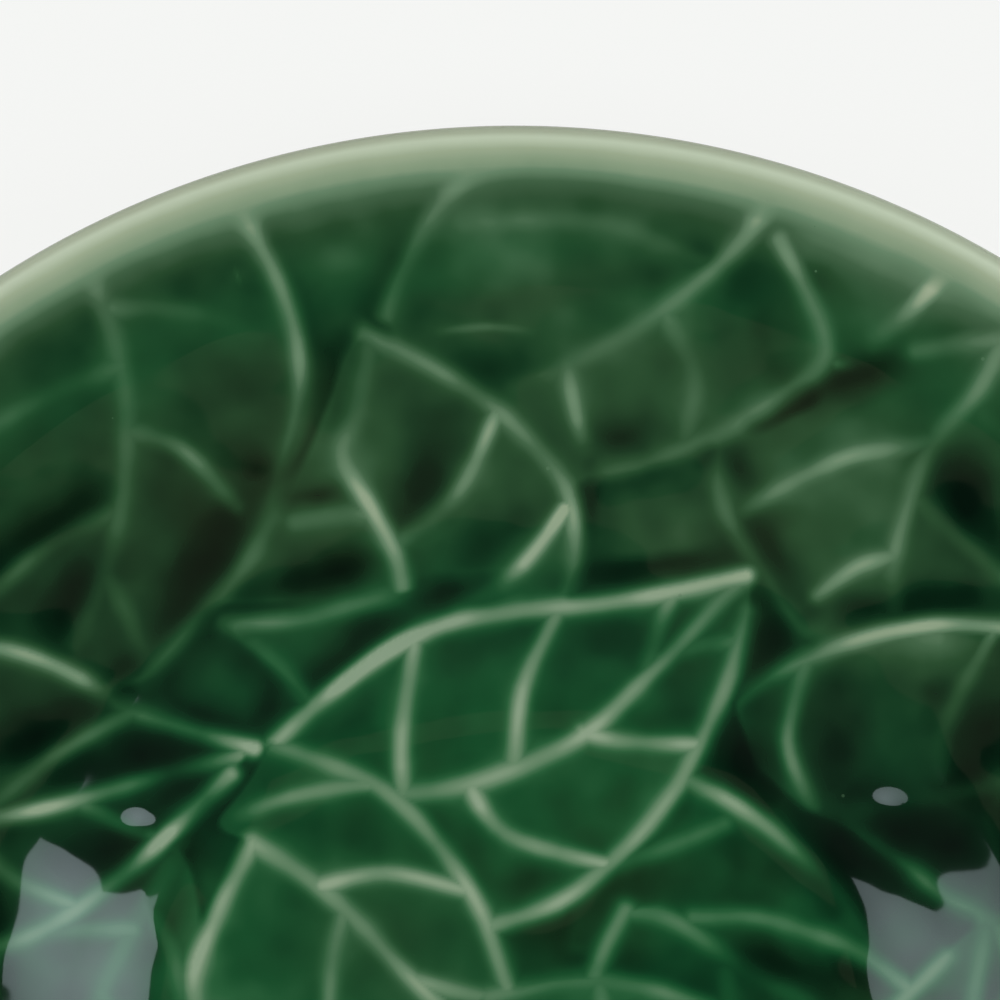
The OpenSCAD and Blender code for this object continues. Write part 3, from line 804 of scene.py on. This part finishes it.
def hollows(places, sharpness):
    """How much a list of rounded places adds, over the whole mesh."""
    added = np.zeros((span_mm, span_mm))
    for x, y, length, width, turn, depth in places:
        c, d = math.cos(math.radians(turn)), math.sin(math.radians(turn))
        u = ((axis_mm[:, None] - x) * c + (axis_mm[None, :] - y) * d) / length
        v = ((axis_mm[None, :] - y) * c - (axis_mm[:, None] - x) * d) / width
        added = np.maximum(added, depth * np.exp(-np.hypot(u, v) ** sharpness))
    return added


# Gentle swellings of the glazed face across the wall of the well, in which the lamps are mirrored.
SWELLINGS = [
    (-44, 28.5, 2.6, 2.2, 25, 0.45),
    (-56, 12, 14, 8.5, -22, 0.9),
    (-36.5, 24, 12, 4, 80, 0.55),
    (43.5, 31, 2.6, 1.8, -18, 0.45),
    (47.5, 15, 6, 7.5, 5, 0.65),
]

# Places where the glaze looks warmer than round them.
WARM_PLACES = [
    (-14, 14, 14, 10, -40, 0.55),
    (5.2, 91.6, 14, 3, 10, 0.5),
    (14, 60, 10, 4, 10, 0.3),
    (37.2, 40.2, 8.5, 3.6, 82, 1),
]
# Warm tones for the leaves: a painted warm reflection on the flange, warm clay at the lip, and the places
# above.
warm_clay_and_reflection_map = np.clip(warm_clay_and_reflection_at(far_r) + hollows(WARM_PLACES, sharpness=2), 0, 1)
round_flange = hollows(FLANGE_HOLLOWS, sharpness=1.4)
across_well = hollows(WELL_HOLLOWS, sharpness=1.6)
pools = np.maximum.reduce(
    [np.rot90(round_flange, k) for k in range(4)] + [np.rot90(across_well, k) for k in (0, 2)])
swollen = hollows(SWELLINGS, sharpness=2)
swollen = np.maximum(swollen, np.rot90(swollen, 2))

# The glaze has run level over the relief, and its face rises and falls less than the clay below.
step_kept = 0.5
step_levelled = 4
rib_kept = 0.4
rib_levelled = 2.2
surface = step_kept * spread(steps_map, step_levelled) + rib_kept * spread(ribs_map, rib_levelled)
surface = (surface + swollen) * pad_share

# It banks up in the corners below the edges of the leaves, and lies deeper on the wall.
corner_w = 3
edge_sharp = 0.8
corner_h = 0.35
banked = np.clip((spread(steps_map, corner_w) - spread(steps_map, edge_sharp)) / corner_h, 0, 1)
bank_depth = np.interp(far_r, [22, 34, 56, 64], [0.16, 0.26, 0.26, 0.24]) * banked
wall_deeper = 0.08
wall_mid = 52
wall_w = 9
flange_deeper = 0.01
on_wall = wall_deeper * np.exp(-((far_r - wall_mid) / wall_w) ** 2)
on_flange = flange_deeper * np.clip((far_r - 56) / 8, 0, 1)
leaf_soft = 1.5
laid_deep = spread(deep_map, leaf_soft) + on_wall + on_flange

# It is cloudy on the panels and uneven along the ribs: sizes in millimetres, and how strong.
noise_seed = 7
cloud_size = 5
cloud_depth = 0.045
grain_size = 1.3
grain_depth = 0.026
uneven_size = 2.2
uneven_share = 0.17
noise = np.random.default_rng(noise_seed).standard_normal((3, span_mm, span_mm))
noise_sizes = (cloud_size, grain_size, uneven_size)
clouds, grain, uneven = (spread(field, size) for field, size in zip(noise, noise_sizes))
clouds *= cloud_depth / clouds.std()
clouds += grain * grain_depth / grain.std()
uneven *= uneven_share / uneven.std()

# On the panels its depth stays between a least and a greatest, and evens out near the lip.
base_depth = 0.58
least_depth = 0.3
deep = 0.7
deep_room = 0.3
pool_clouds = 3
panel_depth = base_depth + clouds + laid_deep + bank_depth + pools * (1 + pool_clouds * clouds)
panel_depth = np.maximum(panel_depth, least_depth)
deepest = deep + deep_room * np.tanh((panel_depth - deep) / deep_room)
panel_depth = np.where(panel_depth < deep, panel_depth, deepest)
panel_depth += (ground_depth - panel_depth) * np.clip((far_r - 100) / 5, 0, 1)

# It thins over the ribs, unevenly along them and with a soft border, and the ribs fade into the lip.
rib_depth = 0.13
crest_share = 0.85
border_share = 0.45
border_w = 1.5
pale_map *= np.interp(far_r, [102.8, 105.2], [1, 0])
thin = crest_share * pale_map + border_share * spread(pale_map, border_w)
thin = np.clip(thin * (1 + uneven), 0, 1)
depth_map = panel_depth + (rib_depth - panel_depth) * thin
depth_map *= lip_glaze_and_light(axis_mm[:, None], axis_mm[None, :])
face_z = face_height(far_r) + surface
slope_x, slope_y = np.gradient(face_z, mesh_step)


def pick(field, x, y):
    """A field's value at places between the points of the mesh."""
    fx, fy = x / mesh_step + mesh_half, y / mesh_step + mesh_half
    i = np.clip(np.floor(fx).astype(int), 0, span_mm - 2)
    j = np.clip(np.floor(fy).astype(int), 0, span_mm - 2)
    u, v = fx - i, fy - j
    near = field[i, j] * (1 - u) * (1 - v) + field[i + 1, j] * u * (1 - v)
    return near + field[i, j + 1] * (1 - u) * v + field[i + 1, j + 1] * u * v


# A cell belongs to the leaf that lies on top at its middle, or to the bare ground of the dish.
cell_mm = axis_mm[:-1] + mesh_step / 2
cell_r = np.hypot(cell_mm[:, None], cell_mm[None, :])
GROUND = len(LAID)
OUTSIDE = GROUND + 4
cell_owner = GROUND + 2 * (cell_mm[:, None] > 0) + (cell_mm[None, :] > 0)
for _, number, _ in sorted(ranks):
    kind, _, turn = LAID[number]
    outside = np.rot90(shapes[kind][0], turn)
    middle = (outside[1:, 1:] + outside[1:, :-1] + outside[:-1, 1:] + outside[:-1, :-1]) / 4
    cell_owner[(middle < edge_reach) & (cell_r < leaf_limit)] = number
cell_owner[cell_r > face_edge] = OUTSIDE

# Points on a border between two owners are drawn on to the upper leaf's outline, so borders run smooth.
corner = np.pad(cell_owner, 1, constant_values=OUTSIDE)
corners = np.stack([corner[:-1, :-1], corner[1:, :-1], corner[:-1, 1:], corner[1:, 1:]])
rank_of = np.array([rank for rank, _, _ in ranks] + [-1] * 4 + [-2])
corner_rank = rank_of[corners]
top_corner = np.take_along_axis(corners, corner_rank.argmax(axis=0)[None], axis=0)[0]
on_border = (corners != corners[0]).any(axis=0)
at_limit = on_border & (corners == OUTSIDE).any(axis=0)
shift_x = np.zeros((span_mm, span_mm))
shift_y = np.zeros((span_mm, span_mm))
least_slope = 0.3
for number, (kind, _, turn) in enumerate(LAID):
    outside = np.rot90(shapes[kind][0], turn) - edge_reach
    mine = on_border & (top_corner == number) & (np.abs(outside) < mesh_step)
    gx, gy = np.gradient(outside, mesh_step)
    length = np.maximum(np.hypot(gx, gy), least_slope)
    shift_x[mine] = (-outside * gx / length ** 2)[mine]
    shift_y[mine] = (-outside * gy / length ** 2)[mine]
ring_reach = 0.7 * mesh_step
for ring, mask in ((leaf_limit, on_border), (face_edge, at_limit)):
    close = mask & (np.abs(far_r - ring) < ring_reach)
    outward = ring / np.maximum(far_r, mesh_step) - 1
    shift_x[close] = (outward * axis_mm[:, None])[close]
    shift_y[close] = (outward * axis_mm[None, :])[close]
most = 0.45 * mesh_step
shift_x = np.clip(shift_x, -most, most)
shift_y = np.clip(shift_y, -most, most)


least_t = 0.05
ground_sunk = 0.2


def laid_piece(name, number, sunk):
    """A pad cut from the mesh of points: one owner's cells, raised into a solid and shaped by the glaze."""
    mine = np.argwhere(cell_owner == number)
    low, high = mine.min(axis=0), mine.max(axis=0) + 1
    cols, rows = high - low
    bpy.ops.object.select_all(action="DESELECT")
    bpy.ops.mesh.primitive_grid_add(x_subdivisions=int(cols), y_subdivisions=int(rows), size=1)
    piece = new_piece(name)
    mesh = piece.data
    middles = np.empty(len(mesh.polygons) * 3)
    mesh.polygons.foreach_get("center", middles)
    middles = middles.reshape(-1, 3) + 0.5
    i = low[0] + np.floor(middles[:, 0] * cols).astype(int)
    j = low[1] + np.floor(middles[:, 1] * rows).astype(int)
    bpy.ops.object.mode_set(mode="EDIT")
    bpy.ops.mesh.select_mode(type="FACE")
    bpy.ops.object.mode_set(mode="OBJECT")
    mesh.polygons.foreach_set("select", cell_owner[i, j] != number)
    bpy.ops.object.mode_set(mode="EDIT")
    bpy.ops.mesh.delete(type="FACE")
    bpy.ops.mesh.select_all(action="SELECT")
    bpy.ops.mesh.extrude_region_move(TRANSFORM_OT_translate={"value": (0, 0, 1)})
    bpy.ops.object.mode_set(mode="OBJECT")
    places = np.empty(len(mesh.vertices) * 3)
    mesh.vertices.foreach_get("co", places)
    places = places.reshape(-1, 3)
    raised = places[:, 2] > 0.5
    i = low[0] + np.rint((places[:, 0] + 0.5) * cols).astype(int)
    j = low[1] + np.rint((places[:, 1] + 0.5) * rows).astype(int)
    x = axis_mm[i] + shift_x[i, j]
    y = axis_mm[j] + shift_y[i, j]
    bottom = face_height(np.hypot(x, y)) - sunk
    top = np.maximum(pick(face_z, x, y), bottom + least_t)
    places = np.stack([x, y, np.where(raised, top, bottom)], axis=1) * MM
    mesh.vertices.foreach_set("co", places.ravel())
    set_glaze(piece, pick(depth_map, x, y), pick(warm_clay_and_reflection_map, x, y))
    normals = np.zeros((len(mesh.vertices), 3))
    normals[:, 0] = -pick(slope_x, x, y)
    normals[:, 1] = -pick(slope_y, x, y)
    normals[:, 2] = 1
    normals /= np.linalg.norm(normals, axis=1)[:, None]
    loop_point = np.empty(len(mesh.loops), dtype=int)
    mesh.loops.foreach_get("vertex_index", loop_point)
    sizes = np.empty(len(mesh.polygons), dtype=int)
    mesh.polygons.foreach_get("loop_total", sizes)
    face_of = np.repeat(np.arange(len(sizes)), sizes)
    starts = np.concatenate([[0], np.cumsum(sizes)[:-1]])
    all_up = np.minimum.reduceat(raised[loop_point].astype(int), starts) > 0
    mesh.polygons.foreach_set("use_smooth", all_up)
    wanted = np.where(all_up[face_of][:, None], normals[loop_point], 0)
    mesh.normals_split_custom_set(wanted.astype(np.float32).tolist())
    return piece


leaf_glaze = glaze_material("leaf_glaze")
for number, (kind, n, turn) in enumerate(LAID):
    node = f"{kind}_leaf_{n}"
    leaf = laid_piece("glazed_" + node, number, 0)
    leaf.data.materials.append(leaf_glaze)
    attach(leaf, "root")
    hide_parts(node)


# The glaze on the ground
# Between the leaves the glaze lies straight on the dish, and it fills in against their edges.
# It is modelled in four quarters.
for quarter in range(4):
    ground = laid_piece(f"ground_glaze_{quarter + 1}", GROUND + quarter, ground_sunk)
    ground.data.materials.append(dish_glaze)
    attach(ground, "root")


# The table
# A wide pale board with a matt white face, a hair below the foot.
table_w = 6
table_gap = 0.05 * MM
table_glow = 0.94
bpy.ops.object.select_all(action="DESELECT")
bpy.ops.mesh.primitive_plane_add(size=table_w, location=(0, 0, -table_gap))
table = new_piece("table")
table_paint = bpy.data.materials.new("table_paint")
table_paint.use_nodes = True
table_shader = table_paint.node_tree.nodes["Principled BSDF"]
table_shader.inputs["Base Color"].default_value = linear(245, 246, 244)
table_shader.inputs["Roughness"].default_value = 0.9
table_tree = table_paint.node_tree
table_seen = add_node(table_tree, "ShaderNodeLightPath")
seen_straight = add_node(
    table_tree, "ShaderNodeMath",
    [(0, table_seen.outputs["Is Camera Ray"]), (1, table_seen.outputs["Is Glossy Ray"])],
    operation="MAXIMUM")
seen_at_all = add_node(
    table_tree, "ShaderNodeMath",
    [(0, seen_straight.outputs[0]), (1, table_seen.outputs["Is Transmission Ray"])], operation="MAXIMUM")
bright_share = add_node(
    table_tree, "ShaderNodeMath", [(0, seen_at_all.outputs[0]), (1, table_glow)], operation="MULTIPLY")
table_white = add_node(
    table_tree, "ShaderNodeEmission", [("Color", linear(246, 247, 245)), ("Strength", 1)])
table_mix = add_node(
    table_tree, "ShaderNodeMixShader",
    [(0, bright_share.outputs[0]), (1, table_shader.outputs[0]), (2, table_white.outputs[0])])
table_tree.links.new(table_mix.outputs[0], table_tree.nodes["Material Output"].inputs["Surface"])
table.data.materials.append(table_paint)


# The light
# A soft box stands to the left of the plate and one to the right, each brightest in its middle. A dim
# warm card hangs over the near half, and a wide lamp fills in from overhead. The room is dim.
def soft_lamp(name, place, aim, width, height, power, colour):
    """A soft lamp that faces a point."""
    lamp = bpy.data.lights.new(name, "AREA")
    lamp.shape = "RECTANGLE"
    lamp.size = width
    lamp.size_y = height
    lamp.energy = power
    lamp.color = colour
    stand = bpy.data.objects.new(name, lamp)
    stand.location = place
    away = np.array(place, dtype=float) - np.array(aim, dtype=float)
    flat = math.hypot(away[0], away[1])
    stand.rotation_euler = (math.atan2(flat, away[2]), 0, math.atan2(away[0], -away[1]))
    stand.visible_camera = False
    bpy.context.scene.collection.objects.link(stand)
    return stand


fill = soft_lamp(
    "overhead_lamp", place=(0, 0.35, 1.5), aim=(0, 0.05, 0), width=1.8, height=1.8, power=10,
    colour=(1, 0.76, 0.7))
fill.visible_glossy = False
box_middle = 1.3
box_edge = 0.6
for name, side, power in (("left_box", -1, 3.9), ("right_box", 1, 5.2)):
    box = soft_lamp(
        name, place=(side * 0.646, -0.051, 0.695), aim=(0, 0, 0), width=0.54, height=0.76, power=power,
        colour=(0.78, 0.93, 1))
    box.data.use_nodes = True
    box_tree = box.data.node_tree
    box_place = add_node(box_tree, "ShaderNodeNewGeometry")
    box_far = add_node(
        box_tree, "ShaderNodeVectorMath",
        [(0, box_place.outputs["Parametric"]), (1, (0.5, 0.5, 0))], operation="DISTANCE")
    box_level = add_node(
        box_tree, "ShaderNodeMapRange",
        [("Value", box_far.outputs["Value"]), ("From Max", 0.7),
         ("To Min", box_middle), ("To Max", box_edge)])
    box_tree.links.new(box_level.outputs[0], box_tree.nodes["Emission"].inputs["Strength"])
soft_lamp(
    "warm_card", place=(0, -0.15, 0.7), aim=(0, -0.15, 0), width=0.26, height=0.11, power=0.012,
    colour=(1, 0.92, 0.6))

room_low = 0.08
room_high = 0.02
room = bpy.data.worlds.new("room")
bpy.context.scene.world = room
room.use_nodes = True
room_tree = room.node_tree
room_back = room_tree.nodes["Background"]
room_way = add_node(room_tree, "ShaderNodeTexCoord")
room_axes = add_node(room_tree, "ShaderNodeSeparateXYZ", [(0, room_way.outputs["Generated"])])
room_level = add_node(
    room_tree, "ShaderNodeMapRange",
    [("Value", room_axes.outputs["Z"]), ("From Min", 0.78), ("From Max", 0.95),
     ("To Min", room_low), ("To Max", room_high)])
room_tree.links.new(room_level.outputs[0], room_back.inputs["Strength"])
room_back.inputs["Color"].default_value = (1, 0.97, 0.92, 1)


# The camera
# It looks straight down on the far half of the plate, through a long lens.
lens = bpy.data.cameras.new("camera")
lens.sensor_width = 36
lens.lens = 200.8
lens.clip_start = 0.01
camera = bpy.data.objects.new("camera", lens)
camera.location = (-0.0017, 0.067, 0.66)
bpy.context.scene.collection.objects.link(camera)
bpy.context.scene.camera = camera
bpy.context.scene.view_settings.view_transform = "Standard"
